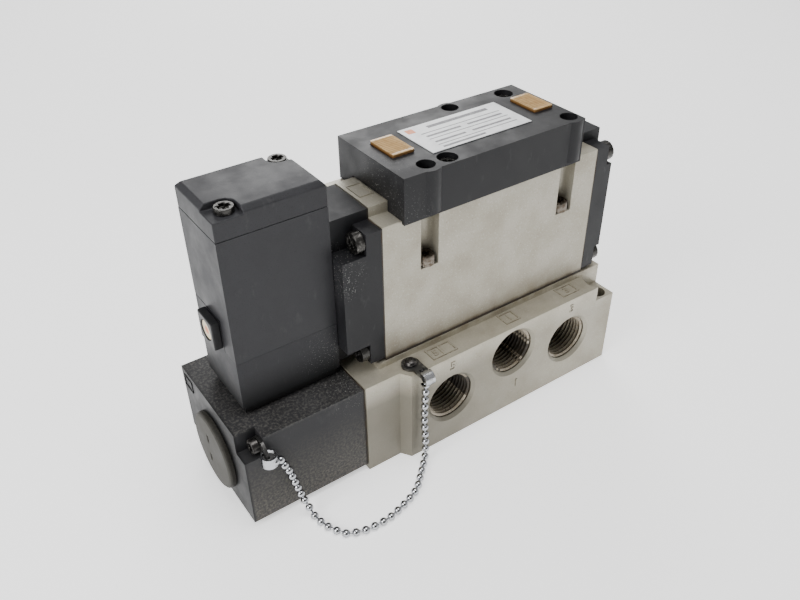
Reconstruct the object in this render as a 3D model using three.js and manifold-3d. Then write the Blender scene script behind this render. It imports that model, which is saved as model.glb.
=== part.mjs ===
// Base-mounted, pilot-operated 5-port solenoid directional valve, with a plug-in sub-plate,
// a junction cover held by a captive ball chain, and an indicator cover.
//
// Working frame, in millimetres: x = 0 is the sub-plate's left end, where the junction cover meets
// it; y = 0 is the sub-plate's ported front face; z = 0 is its underside. +X runs along the valve
// towards the end plate, and +Z is up. The finished group is shifted so that its origin is the
// centre of its footprint.

import * as THREE from 'three';
import { mergeVertices } from 'three/addons/utils/BufferGeometryUtils.js';
import Module from 'manifold-3d';

const wasm = await Module();
wasm.setup();

// ---------------------------------------------------------------- driving dimensions

const rest = 0.05;            // gap between two flat faces that touch
const fit = 0.3;              // gap around a piece that sits in another's recess
const slideFit = 0.06;        // radial clearance of a spool, plunger or pin

// sub-plate
const plateLength = 100.3;
const plateDepth = 45.9;
const plateTop = 34;
const neckLength = 12;        // set-back stretch next to the junction cover
const neckInset = 3.2;
const neckCorner = 2.1;
const seatTop = plateTop + 2; // raised seat that the body stands on
const seatStart = 8;
const seatMargin = 0.3;
const earTop = plateTop - 5.6;
const earHoleRadius = 2.9;
const earHoleInset = [4.2, 3.7];
const earRadius = 5.5;
const backHole = [18, 42.3];
const portRadius = 8.33;      // 3/8 pipe thread
const portChamfer = 1;
const portDepth = 15;
const portPitch = 12.6;       // between neighbouring valve ports, along X
const middlePortX = 55.1;
const portHeight = 17.06;
const supplyPortHeight = 23.24;
const passageRadius = 5;
const seatHoleRadius = 4;
const wirePocket = { depth: 6, width: 25, height: 19, bottom: 8 };

// valve body and plate gasket
const gasketThickness = 0.8;
const bodyStart = 10.8;
const bodyLength = 80.8;
const bodyWidth = 30.8;
const bodyMiddle = 23.9;      // y of the body's middle plane
const bodyLedge = plateTop + 48;
const bodyCrown = plateTop + 51.2;
const crownWidth = 17.2;
const boreHeight = plateTop + 24;
const boreRadius = 9;

// body bolts, socket head
const boltInset = 2.3;        // bolt axis behind the body's long faces
const boltFrontX = [26.7, 79.3];
const boltRearX = middlePortX;
const boltRadius = 1.5;
const boltHeadRadius = 2.75;
const boltHeadHeight = 3.3;
const boltSocketRadius = 1.3;
const slotWidth = 6.2;
const slotFloor = plateTop + 29.7;
const boltDepth = 8.5;        // thread inside the sub-plate

// sleeve, spool, piston and return spring
const sleeveStart = 19;
const sleeveLength = 64.5;
const sleeveBore = 5.5;
const spoolLength = 66;
const spoolStart = 18;
const spoolNeck = 3.4;
const landLength = 9;
const spoolStroke = 3.5;
const pistonThickness = 4.5;
const pistonStemRadius = 3;
const pistonStart = 3;
const springRadius = 4.2;
const springWire = 1;

// adapter plate and end plate
const faceGasket = 0.4;
const flangeThickness = 4.8;
const adapterBlock = 7.7;     // from the flange to the pilot valve
const endBlock = 2.2;
const blockBottom = plateTop + 10.4;
const blockTop = plateTop + 41.1;
const flangeBottomGap = 0.4;
const crownDrop = 0.3;
const screwInset = 3.2;       // M4 screws behind the long faces
const screwLow = plateTop + 6.7;
const screwHigh = plateTop + 44.4;
const screwRadius = 2;
const screwHeadRadius = 3.2;
const screwHeadHeight = 2.6;
const screwDepth = 8;

// pilot valve
const pilotLength = 31.2;
const pilotWidth = 22.8;
const pilotMiddle = 24.75;   // y of its middle plane, a little behind the body's
const pilotBottom = plateTop + 0.5;
const pilotSeam = plateTop + 18.8;
const pilotFoot = { height: 2.3, inset: 0.8 };
const capSeam = plateTop + 56.8;
const capTop = plateTop + 64.2;
const capChamfer = 1.3;
const capScrewInset = [[5, 3.9], [3.7, 3.5]];
const capNotchRadius = 3.2;   // round each cap screw
const capNotchFloor = plateTop + 62.3;
const pilotGap = 0.2;         // to the adapter
const tongueTop = plateTop + 29.3;       // the base's left wall, behind the override
const tongueStart = 20.2;
const tongueWall = 2;
const coilAxisInset = 15.6;   // coil axis from the pilot valve's left face
const coilBottom = plateTop + 30;
const coilTop = plateTop + 54;
const windingRadius = 7.6;
const bobbinRadius = 5.2;
const bobbinBore = 4.5;
const flangeHeight = 1.8;
const plungerRadius = 4.2;
const plungerStroke = 1;
const plungerBottom = plateTop + 15;
const coreLength = 13;

// manual override
const overrideSize = 9;
const overrideProud = 2.6;
const overrideY = 24.9;
const overrideZ = plateTop + 24.7;
const buttonRadius = 3;
const buttonThickness = 1.6;
const buttonRecess = 0.3;
const buttonStroke = 1.5;
const pinRadius = 1.4;

// indicator cover
const coverStart = 16.9;
const coverLength = 65.6;
const coverWidth = 33;
const coverShift = -0.4;      // its middle plane is a little forward of the body's
const coverTop = plateTop + 61.2;
const coverRoof = 2.4;
const coverWall = 1.5;
const coverLip = 0.8;
const coverHoleRadius = 2.7;
const coverBoss = 0.8;
const bossRadius = 4.4;
const coverScrewAt = [[17, 3.7], [58.6, 28.8]];
const lensSize = [7.2, 10.4];
const lensInset = [4.6, 2.2];
const lensProud = 1;
const labelSize = [36, 17.4];
const labelThickness = 0.2;

// junction cover and its fittings
const junctionLength = 38.9;
const junctionInset = 0.6;    // behind the sub-plate's own faces
const junctionBottom = 2.2;
const junctionTop = plateTop - 0.5;
const junctionWall = 2.4;
const junctionGasket = 0.5;
const junctionNotch = { length: 6.4, width: 5.2, height: 6.9 };
const junctionScrewInset = [2.6, 4.2];
const plugRadius = 12.4;
const plugProud = 2.2;
const plugHoleRadius = 10.2;
const plugCentre = [24.5, 15.6];
const plugSlot = { width: 1, height: 2.6, spacing: 7.6, across: 1.6 };

// captive ball chain
const chainDiameter = 2.4;
const lugScrewAt = [16.7, 4.2];
const lugRadius = 2.9;
const lugThickness = 0.9;
const bandRadius = 2.4;       // the bent band of a clasp
const bandWall = 0.45;
const bandWidth = 3.4;
const bandStrip = 1.2;        // its narrow part, which passes through a lug

// ---------------------------------------------------------------- helpers for solids

// One closed solid from a three.js geometry.
function solid(geometry) {
  const bare = new THREE.BufferGeometry();
  bare.setAttribute('position', geometry.getAttribute('position').clone());
  if (geometry.index) bare.setIndex(geometry.index.clone());
  const merged = mergeVertices(bare, 1e-4);
  const vertProperties = new Float32Array(merged.getAttribute('position').array);
  const triVerts = new Uint32Array(merged.index.array);
  const made = new wasm.Manifold(new wasm.Mesh({ numProp: 3, vertProperties, triVerts }));
  if (made.volume() > 0) return made;
  for (let i = 0; i < triVerts.length; i += 3) triVerts.subarray(i, i + 3).reverse();
  return new wasm.Manifold(new wasm.Mesh({ numProp: 3, vertProperties, triVerts }));
}

function block([x0, x1], [y0, y1], [z0, z1]) {
  const geometry = new THREE.BoxGeometry(x1 - x0, y1 - y0, z1 - z0);
  return solid(geometry.translate((x0 + x1) / 2, (y0 + y1) / 2, (z0 + z1) / 2));
}

// Turns a geometry made along +Y so that it runs along the named axis, with its own zero at centre.
function along(axis, geometry, centre) {
  if (axis === 'x') geometry.rotateZ(-Math.PI / 2);
  if (axis === 'z') geometry.rotateX(Math.PI / 2);
  return geometry.translate(...centre);
}

// The point on the named axis line: its place along the axis, then its two other coordinates.
function onAxis(axis, place, [a, b]) {
  if (axis === 'x') return [place, a, b];
  return axis === 'y' ? [a, place, b] : [a, b, place];
}

function rod(axis, radius, from, to, across, sides = 18, endRadius = radius) {
  const geometry = new THREE.CylinderGeometry(endRadius, radius, to - from, sides);
  return solid(along(axis, geometry, onAxis(axis, (from + to) / 2, across)));
}

// A turned piece: its outline is [radius, place along the axis] pairs.
function turned(axis, outline, across, sides = 20) {
  const points = outline.map(([radius, place]) => new THREE.Vector2(radius, place));
  return solid(along(axis, new THREE.LatheGeometry(points, sides), onAxis(axis, 0, across)));
}

// A closed outline pushed along an axis: [x, y] points along z, or [y, z] points along x.
function prism(axis, outline, from, to) {
  const shape = new THREE.Shape(outline.map(([a, b]) => new THREE.Vector2(a, b)));
  const geometry = new THREE.ExtrudeGeometry(shape, { depth: to - from, bevelEnabled: false });
  geometry.translate(0, 0, from);
  if (axis === 'x') {
    geometry.applyMatrix4(new THREE.Matrix4().makeBasis(
      new THREE.Vector3(0, 1, 0), new THREE.Vector3(0, 0, 1), new THREE.Vector3(1, 0, 0)));
  }
  return solid(geometry);
}

// A round bar swept along a curve.
function swept(curve, radius, steps, sides) {
  const section = new THREE.Shape();
  for (let i = 0; i < sides; i += 1) {
    const angle = (2 * Math.PI * i) / sides;
    const [a, b] = [radius * Math.cos(angle), radius * Math.sin(angle)];
    if (i === 0) section.moveTo(a, b);
    else section.lineTo(a, b);
  }
  section.closePath();
  return solid(new THREE.ExtrudeGeometry(section, { steps, extrudePath: curve, bevelEnabled: false }));
}

class Helix extends THREE.Curve {
  constructor(axis, radius, from, to, turns, across) {
    super();
    Object.assign(this, { axis, radius, from, to, turns, across });
  }

  getPoint(t, target = new THREE.Vector3()) {
    const angle = 2 * Math.PI * this.turns * t;
    const [a, b] = this.across;
    const round = [a + this.radius * Math.cos(angle), b + this.radius * Math.sin(angle)];
    return target.set(...onAxis(this.axis, this.from + (this.to - this.from) * t, round));
  }
}

function coilSpring(axis, radius, wire, from, to, turns, across) {
  const helix = new Helix(axis, radius, from + wire / 2, to - wire / 2, turns, across);
  return swept(helix, wire / 2, Math.round(turns * 8), 5);
}

const join = (...pieces) => pieces.reduce((all, piece) => all.add(piece));
const cut = (piece, ...tools) => tools.reduce((left, tool) => left.subtract(tool), piece);

// ---------------------------------------------------------------- the assembly

const valve = new THREE.Group();

const finishes = {
  silverPaint: { color: 0xb3afa2, roughness: 0.5, metalness: 0.35 },
  blackResin: { color: 0x2b2b2e, roughness: 0.55, metalness: 0 },
  greyResin: { color: 0x3a3a3d, roughness: 0.6, metalness: 0 },
  plugGrey: { color: 0x55554e, roughness: 0.7, metalness: 0 },
  rubber: { color: 0x1a1917, roughness: 0.8, metalness: 0 },
  steel: { color: 0xb8b8b8, roughness: 0.3, metalness: 1 },
  blackSteel: { color: 0x3a3835, roughness: 0.4, metalness: 0.9 },
  chrome: { color: 0xd9dadc, roughness: 0.12, metalness: 1 },
  amber: { color: 0xc98a3a, roughness: 0.25, metalness: 0 },
  cream: { color: 0xd8b07a, roughness: 0.45, metalness: 0 },
  label: { color: 0xf0f0ee, roughness: 0.5, metalness: 0 },
  copper: { color: 0xa8552a, roughness: 0.4, metalness: 0.9 },
  board: { color: 0x2f5a3a, roughness: 0.6, metalness: 0 },
};

function add(name, piece, finish) {
  const { numProp, vertProperties, triVerts } = piece.getMesh();
  const geometry = new THREE.BufferGeometry();
  const positions = new THREE.InterleavedBuffer(vertProperties, numProp);
  geometry.setAttribute('position', new THREE.InterleavedBufferAttribute(positions, 3, 0));
  geometry.setIndex(new THREE.BufferAttribute(triVerts, 1));
  const mesh = new THREE.Mesh(geometry, new THREE.MeshStandardMaterial(finishes[finish]));
  mesh.name = name;
  valve.add(mesh);
}

// Places that several pieces share.
const portX = [-2, -1, 0, 1, 2].map((step) => middlePortX + step * portPitch);
const bodyEnd = bodyStart + bodyLength;
const bodyFront = bodyMiddle - bodyWidth / 2;
const bodyBack = bodyMiddle + bodyWidth / 2;
const crownFront = bodyMiddle - crownWidth / 2;
const crownBack = bodyMiddle + crownWidth / 2;
const bodyBottom = seatTop + gasketThickness + 2 * rest;
const boltFrontY = bodyFront + boltInset;
const boltRearY = bodyBack - boltInset;
const bolts = [...boltFrontX.map((x) => [x, boltFrontY]), [boltRearX, boltRearY]];
const boreAxis = [bodyMiddle, boreHeight];
const reach = 60;             // how far a cutting tool runs past what it cuts

// Screw axes of the junction cover: front top, and rear bottom.
const junctionFront = neckInset + junctionInset;
const junctionBack = plateDepth - junctionInset;
const junctionScrews = [
  [junctionFront + junctionScrewInset[0], junctionTop - junctionScrewInset[1]],
  [junctionBack - junctionScrewInset[0], junctionBottom + junctionScrewInset[1]],
];

// The connector stands in the sub-plate and plugs up into the body.
const connector = { start: 13, length: 5.4, width: 9.4, bottom: plateTop - 8, top: plateTop + 8 };
const connectorX = [connector.start, connector.start + connector.length];
const connectorY = [bodyMiddle - connector.width / 2, bodyMiddle + connector.width / 2];
const wider = ([low, high], by) => [low - by, high + by];

// ---------------------------------------------------------------- sub-plate

function portHole(x, z, side) {
  const [mouth, inwards] = side === 'front' ? [0, 1] : [plateDepth, -1];
  const span = (from, to) => [mouth + inwards * from, mouth + inwards * to].sort((a, b) => a - b);
  const across = [x, z];
  const flare = portRadius + portChamfer;
  const [low, high] = span(-portChamfer, portChamfer);
  const radii = side === 'front' ? [flare + portChamfer, portRadius] : [portRadius, flare + portChamfer];
  return join(
    rod('y', portRadius, ...span(-1, portDepth), across, 28),
    rod('y', radii[0], low, high, across, 28, radii[1]),
    rod('y', passageRadius, ...span(portDepth - 1, Math.abs(bodyMiddle - mouth) + passageRadius), across, 14),
    rod('z', seatHoleRadius, z, seatTop + 1, [x, bodyMiddle], 14),
  );
}

function subPlate() {
  const outline = [
    [0, neckInset], [neckLength, neckInset], [neckLength + neckCorner, 0],
    [plateLength, 0], [plateLength, plateDepth], [0, plateDepth],
  ];
  const seatFront = bodyFront - seatMargin;
  const seatBack = bodyBack + seatMargin;
  const seat = block([seatStart, plateLength], [seatFront, seatBack], [plateTop - 1, seatTop]);
  const holeX = plateLength - earHoleInset[0];
  const ears = [
    [earHoleInset[1], [-1, seatFront]],
    [plateDepth - earHoleInset[1], [seatBack, plateDepth + 1]],
  ].map(([holeY, depth]) => join(
    rod('z', earRadius, earTop, plateTop + reach, [holeX, holeY], 24),
    block([holeX, plateLength + 1], depth, [earTop, seatTop + 1]),
  ).intersect(block([0, plateLength + 1], depth, [earTop, seatTop + 1])));
  const earHoles = [earHoleInset[1], plateDepth - earHoleInset[1]]
    .map((y) => rod('z', earHoleRadius, -1, plateTop, [holeX, y]));
  const wireTop = wirePocket.bottom + wirePocket.height;
  const wireY = [plateDepth / 2 - wirePocket.width / 2, plateDepth / 2 + wirePocket.width / 2];
  const ports = [
    portHole(portX[0], portHeight, 'front'),
    portHole(portX[1], portHeight, 'rear'),
    portHole(portX[2], supplyPortHeight, 'front'),
    portHole(portX[3], portHeight, 'rear'),
    portHole(portX[4], portHeight, 'front'),
  ];
  return cut(
    join(prism('z', outline, 0, plateTop), seat),
    ...ears, ...earHoles, ...ports,
    rod('z', earHoleRadius, -1, plateTop + 1, backHole),
    block([-1, wirePocket.depth], wireY, [wirePocket.bottom, wireTop]),
    block([0, connectorX[1] + fit], wider(connectorY, fit), [wireTop - 9, wireTop]),
    block(wider(connectorX, fit), wider(connectorY, fit), [wireTop - 1, seatTop + 1]),
    ...bolts.map((at) => rod('z', boltRadius + slideFit, seatTop - boltDepth - 0.5, seatTop + 1, at, 12)),
    ...junctionScrews.map((at) => rod('x', 1.5 + slideFit, -1, 8.5, at, 12)),
    rod('z', 1.2 + slideFit, plateTop - 7, plateTop + 1, lugScrewAt, 12),
  );
}

function plateGasket() {
  const z = [seatTop + rest, seatTop + rest + gasketThickness];
  return cut(
    block([bodyStart, bodyEnd], [bodyFront, bodyBack], z),
    ...portX.map((x) => rod('z', seatHoleRadius, z[0] - 1, z[1] + 1, [x, bodyMiddle], 14)),
    ...bolts.map((at) => rod('z', boltRadius + fit, z[0] - 1, z[1] + 1, at, 12)),
    block(wider(connectorX, fit), wider(connectorY, fit), [z[0] - 1, z[1] + 1]),
  );
}

add('sub_plate', subPlate(), 'silverPaint');
add('plate_gasket', plateGasket(), 'rubber');

// ---------------------------------------------------------------- valve body

// The stepped section that the body, the adapter and the end plate share.
function steppedSection(bottom, drop) {
  return [
    [bodyFront, bottom], [bodyBack, bottom], [bodyBack, bodyLedge - drop],
    [crownBack, bodyLedge - drop], [crownBack, bodyCrown - drop],
    [crownFront, bodyCrown - drop], [crownFront, bodyLedge - drop], [bodyFront, bodyLedge - drop],
  ];
}

const cornerScrews = [screwLow, screwHigh].flatMap((z) => [
  [bodyFront + screwInset, z], [bodyBack - screwInset, z],
]);

const coverFront = bodyMiddle + coverShift - coverWidth / 2;
const coverScrews = coverScrewAt.map(([along, back]) => [coverStart + along, coverFront + back]);

function boltSlot([x, y]) {
  const outwards = y < bodyMiddle ? [bodyFront - 1, y] : [y, bodyBack + 1];
  const z = [slotFloor, bodyCrown + 1];
  return join(
    block([x - slotWidth / 2, x + slotWidth / 2], outwards, z),
    rod('z', slotWidth / 2, ...z, [x, y], 24),
  );
}

function valveBody() {
  return cut(
    prism('x', steppedSection(bodyBottom, 0), bodyStart, bodyEnd),
    rod('x', boreRadius, bodyStart - 1, bodyEnd + 1, boreAxis, 28),
    ...portX.map((x) => rod('z', seatHoleRadius, bodyBottom - 1, boreHeight, [x, bodyMiddle], 14)),
    ...bolts.map(boltSlot),
    ...bolts.map((at) => rod('z', boltRadius + fit, bodyBottom - 1, slotFloor + 1, at, 12)),
    ...cornerScrews.flatMap((at) => [
      rod('x', screwRadius + slideFit, bodyStart - 1, bodyStart + screwDepth + 1, at, 12),
      rod('x', screwRadius + slideFit, bodyEnd - screwDepth - 1, bodyEnd + 1, at, 12),
    ]),
    ...coverScrews.map((at) => rod('z', 1.3 + slideFit, bodyLedge - 7, bodyLedge + 1, at, 12)),
    block(wider(connectorX, fit), wider(connectorY, fit), [bodyBottom - 1, connector.top + fit]),
  );
}

function socketBolt([x, y]) {
  const seat = slotFloor + rest;
  const head = turned('z', [
    [0, seat], [boltHeadRadius, seat], [boltHeadRadius, seat + boltHeadHeight - 0.3],
    [boltHeadRadius - 0.3, seat + boltHeadHeight], [boltSocketRadius, seat + boltHeadHeight],
    [boltSocketRadius, seat + boltHeadHeight - 1.8], [0, seat + boltHeadHeight - 1.8],
  ], [x, y], 24);
  return join(head, rod('z', boltRadius, seatTop - boltDepth, seat + 0.5, [x, y], 12));
}

add('valve_body', valveBody(), 'silverPaint');
bolts.forEach((at, i) => add(`body_bolt_${i + 1}`, socketBolt(at), 'steel'));

// ---------------------------------------------------------------- sleeve, spool and piston

function spoolSleeve() {
  const end = sleeveStart + sleeveLength;
  const windows = portX.map((x) => rod('z', 3, boreHeight - boreRadius - 1, boreHeight, [x, bodyMiddle], 12));
  const tube = cut(
    rod('x', boreRadius - slideFit, sleeveStart, end, boreAxis, 28),
    rod('x', sleeveBore, sleeveStart - 1, end + 1, boreAxis, 28),
  );
  return cut(tube, ...windows);
}

function valveSpool() {
  const end = spoolStart + spoolLength;
  const land = sleeveBore - slideFit;
  const between = [portX[0], portX[2], portX[4]];
  const necks = between.map((x) => cut(
    rod('x', sleeveBore + 1, x - landLength / 2, x + landLength / 2, boreAxis, 28),
    rod('x', spoolNeck, x - landLength, x + landLength, boreAxis, 14),
  ));
  return cut(rod('x', land, spoolStart, end, boreAxis, 28), ...necks);
}

function pilotPiston() {
  const disc = rod('x', boreRadius - slideFit, pistonStart, pistonStart + pistonThickness, boreAxis, 28);
  const stem = rod('x', pistonStemRadius, pistonStart + 1, spoolStart - rest, boreAxis, 14);
  return join(disc, stem);
}

const endFace = bodyEnd + faceGasket + 2 * rest;
const endFlange = endFace + flangeThickness;
const springEnd = endFlange - 0.6;
const retainerStart = spoolStart + spoolLength + rest;

add('spool_sleeve', spoolSleeve(), 'steel');
add('spool', valveSpool(), 'steel');
add('pilot_piston', pilotPiston(), 'blackResin');
add('spring_retainer', join(
  rod('x', springRadius + springWire, retainerStart, retainerStart + 1, boreAxis, 24),
  rod('x', springRadius - springWire, retainerStart, retainerStart + 3, boreAxis, 14),
), 'steel');
add('return_spring', coilSpring(
  'x', springRadius, springWire, retainerStart + 1 + rest, springEnd - rest, 4.5, boreAxis), 'steel');

// ---------------------------------------------------------------- adapter plate and end plate

function faceGasketSheet(from, to) {
  return cut(
    prism('x', steppedSection(bodyBottom + flangeBottomGap, crownDrop), from, to),
    rod('x', boreRadius, from - 1, to + 1, boreAxis, 28),
    ...cornerScrews.map((at) => rod('x', screwRadius + fit, from - 1, to + 1, at, 12)),
  );
}

// A flange of the body's own section, and a cross-shaped block that leaves pockets for four screws.
function closingPlate(flange, outer) {
  const bottom = bodyBottom + flangeBottomGap;
  const [low, high] = [Math.min(flange[0], outer), Math.max(flange[1], outer)];
  const pocket = outer < flange[0] ? [low - 1, flange[0] - rest] : [flange[1] + rest, high + 1];
  const top = bodyCrown - crownDrop;
  return cut(
    join(
      prism('x', steppedSection(bottom, crownDrop), ...flange),
      block([low, high], [bodyFront, bodyBack], [blockBottom, blockTop]),
      block([low, high], [crownFront, crownBack], [bottom, top]),
    ),
    ...cornerScrews.map((at) => rod('x', screwRadius + fit, low - 1, high + 1, at, 12)),
    ...cornerScrews.map((at) => rod('x', screwHeadRadius + rest, ...pocket, at, 16)),
  );
}

function panScrew(axis, radius, headRadius, headHeight, seat, shank, outwards, across) {
  const [low, high] = [seat, seat + outwards * headHeight].sort((a, b) => a - b);
  const [start, end] = [seat - outwards * shank, seat + outwards * 0.5].sort((a, b) => a - b);
  const face = seat + outwards * headHeight;
  const [from, to] = [face - outwards * 1.1, face + outwards].sort((a, b) => a - b);
  const wide = 0.28 * headRadius;
  const long = 0.6 * headRadius;
  const place = onAxis(axis, 0, across);
  const slotAlong = (first, second) => {
    const spans = onAxis(axis, [from, to], [[-first, first], [-second, second]]);
    return block(...spans.map((span, i) => (
      Math.abs(place[i]) > 0 || span[0] + span[1] === 0 ? span.map((s) => s + place[i]) : span)));
  };
  return cut(
    join(
      rod(axis, headRadius, low, high, across, 16),
      rod(axis, radius, start, end, across, 10),
    ),
    slotAlong(wide, long), slotAlong(long, wide),
  );
}

const adapterFace = bodyStart - faceGasket - 2 * rest;
const adapterFlange = adapterFace - flangeThickness;
const adapterOuter = adapterFlange - adapterBlock;
const chamberStart = pistonStart - 1.5;

const adapterPlate = cut(
  closingPlate([adapterFlange, adapterFace], adapterOuter),
  rod('x', boreRadius, chamberStart, adapterFace + 1, boreAxis, 28),
  rod('x', 1.5, adapterOuter - 1, chamberStart + 1, [bodyMiddle, boreHeight - 5], 12),
);
const endPlate = cut(
  closingPlate([endFace, endFlange], endFlange + endBlock),
  rod('x', springRadius + springWire + fit, endFace - 1, springEnd, boreAxis, 24),
);

add('adapter_plate', adapterPlate, 'blackResin');
add('adapter_gasket', faceGasketSheet(adapterFace + rest, bodyStart - rest), 'rubber');
add('end_plate', endPlate, 'blackResin');
add('end_gasket', faceGasketSheet(bodyEnd + rest, endFace - rest), 'rubber');
cornerScrews.forEach((at, i) => {
  const shank = flangeThickness + faceGasket + screwDepth;
  const size = [screwRadius, screwHeadRadius, screwHeadHeight];
  add(`adapter_screw_${i + 1}`, panScrew('x', ...size, adapterFlange - rest, shank, -1, at), 'steel');
  add(`end_plate_screw_${i + 1}`, panScrew('x', ...size, endFlange + rest, shank, 1, at), 'steel');
});

// ---------------------------------------------------------------- pilot valve

const pilotRight = adapterOuter - pilotGap;
const pilotLeft = pilotRight - pilotLength;
const pilotX = [pilotLeft, pilotRight];
const pilotY = [pilotMiddle - pilotWidth / 2, pilotMiddle + pilotWidth / 2];
const coilAxis = [pilotLeft + coilAxisInset, pilotMiddle];
const capScrews = [
  [pilotX[0] + capScrewInset[0][0], pilotY[0] + capScrewInset[0][1]],
  [pilotX[1] - capScrewInset[1][0], pilotY[1] - capScrewInset[1][1]],
];
const capScrewRadius = 1.3;
const overrideAxis = [overrideY, overrideZ];
const overrideNeck = 3.7;
const overrideBack = pilotLeft + 5.6;
const tongueX = [pilotLeft, pilotLeft + tongueWall];

function pilotBase() {
  const footTop = pilotBottom + pilotFoot.height;
  const foot = block(
    wider(pilotX, -pilotFoot.inset), wider(pilotY, -pilotFoot.inset), [pilotBottom, footTop + 1]);
  const tongue = block(tongueX, [tongueStart, pilotY[1]], [pilotSeam - 1, tongueTop]);
  return cut(
    join(block(pilotX, pilotY, [footTop, pilotSeam]), foot, tongue),
    rod('z', plungerRadius + fit, plungerBottom - 4, pilotSeam + 1, coilAxis, 24),
    rod('x', overrideNeck + fit, pilotLeft - 1, tongueX[1] + 1, overrideAxis, 24),
    rod('x', 1.5, coilAxis[0], pilotRight + 1, [bodyMiddle, pilotBottom + 12.2], 12),
    ...capScrews.map((at) => rod('z', capScrewRadius + slideFit, pilotSeam - 9, pilotSeam + 1, at, 12)),
  );
}

function pilotHousing() {
  const z = [pilotSeam + rest, capSeam - rest];
  return cut(
    block(pilotX, pilotY, z),
    rod('z', windingRadius + fit, coilBottom, capSeam + 1, coilAxis, 24),
    rod('z', plungerRadius + fit, pilotSeam - 1, coilBottom + 1, coilAxis, 24),
    rod('x', overrideNeck + fit, pilotLeft - 1, overrideBack + fit, overrideAxis, 24),
    rod('x', pinRadius + fit, pilotLeft, coilAxis[0], overrideAxis, 12),
    block([pilotLeft - 1, tongueX[1] + fit], [tongueStart - fit, pilotY[1] + 1], [z[0] - 1, tongueTop + fit]),
    ...capScrews.map((at) => rod('z', capScrewRadius + fit, z[0] - 1, z[1] + 1, at, 12)),
  );
}

// A block whose four top edges are chamfered.
function toppedBlock([x0, x1], [y0, y1], [z0, z1], chamfer) {
  const [a0, a1, b0, b1] = [x0 + chamfer, x1 - chamfer, y0 + chamfer, y1 - chamfer];
  const corners = [[a0, b0], [a1, b0], [a1, b1], [a0, b1]];
  const shape = new THREE.Shape(corners.map(([a, b]) => new THREE.Vector2(a, b)));
  const bevel = { bevelThickness: chamfer, bevelSize: chamfer, bevelSegments: 1 };
  const geometry = new THREE.ExtrudeGeometry(shape, { depth: z1 - z0, ...bevel });
  geometry.translate(0, 0, z0 - chamfer);
  return solid(geometry).intersect(block([x0 - 1, x1 + 1], [y0 - 1, y1 + 1], [z0, z1 + 1]));
}

// The notch for one cap screw runs out through both faces of its corner.
function capNotch([x, y], side) {
  const z = [capNotchFloor, capTop + 1];
  const span = (at, edge, more) => [edge - side, at + side * more].sort((a, b) => a - b);
  const [edgeX, edgeY] = side > 0 ? [pilotX[0], pilotY[0]] : [pilotX[1], pilotY[1]];
  return join(
    rod('z', capNotchRadius, ...z, [x, y], 24),
    block(span(x, edgeX, capNotchRadius), span(y, edgeY, 0), z),
    block(span(x, edgeX, 0), span(y, edgeY, capNotchRadius), z),
  );
}

function pilotCap() {
  const coreHeadTop = coilTop + coreHeadHeight;
  return cut(
    join(
      toppedBlock(pilotX, pilotY, [capSeam, capTop], capChamfer),
      rod('z', windingRadius - fit, coreHeadTop + 2 * rest, capSeam + 1, coilAxis, 24),
    ),
    capNotch(capScrews[0], 1),
    capNotch(capScrews[1], -1),
    ...capScrews.map((at) => rod('z', capScrewRadius + fit, capSeam - 1, capTop, at, 12)),
  );
}

const coreHeadHeight = 1.2;
const bobbin = cut(
  join(
    rod('z', bobbinRadius, coilBottom + rest, coilTop, coilAxis, 24),
    rod('z', windingRadius, coilBottom + rest, coilBottom + flangeHeight, coilAxis, 24),
    rod('z', windingRadius, coilTop - flangeHeight, coilTop, coilAxis, 24),
  ),
  rod('z', bobbinBore, coilBottom - 1, coilTop + 1, coilAxis, 24),
);
const winding = cut(
  rod(
    'z', windingRadius - 0.3, coilBottom + flangeHeight + rest, coilTop - flangeHeight - rest, coilAxis, 24),
  rod('z', bobbinRadius + rest, coilBottom, coilTop, coilAxis, 24),
);
const core = join(
  rod('z', bobbinBore - 0.15, coilTop - coreLength, coilTop + 0.5, coilAxis, 24),
  rod('z', windingRadius - 1, coilTop + rest, coilTop + coreHeadHeight, coilAxis, 24),
);
const coreFace = coilTop - coreLength;
const plungerTop = coreFace - plungerStroke - 0.5;
const plungerSpringSeat = plungerTop - 7.3;
const plunger = cut(
  rod('z', plungerRadius, plungerBottom, plungerTop, coilAxis, 24),
  rod('z', 2.6, plungerSpringSeat, plungerTop + 1, coilAxis, 14),
);

// The manual override: a square boss, its button with a pin, and the button's spring.
const overrideFace = pilotLeft - overrideProud;
const overrideX = [overrideFace, pilotLeft - rest];
const chamberEnd = overrideBack - 1;
const buttonFace = overrideFace + buttonRecess;
const half = overrideSize / 2;
const overrideBoss = cut(
  join(
    block(overrideX, [overrideY - half, overrideY + half], [overrideZ - half, overrideZ + half]),
    rod('x', overrideNeck, pilotLeft - 1, overrideBack, overrideAxis, 24),
  ),
  rod('x', buttonRadius + slideFit, overrideFace - 1, chamberEnd, overrideAxis, 24),
  rod('x', pinRadius + slideFit, chamberEnd - 1, overrideBack + 1, overrideAxis, 12),
);
const button = join(
  rod('x', buttonRadius, buttonFace, buttonFace + buttonThickness, overrideAxis, 24),
  rod('x', pinRadius, buttonFace + 1, coilAxis[0] - plungerRadius - buttonStroke - 0.4, overrideAxis, 12),
);

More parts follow.
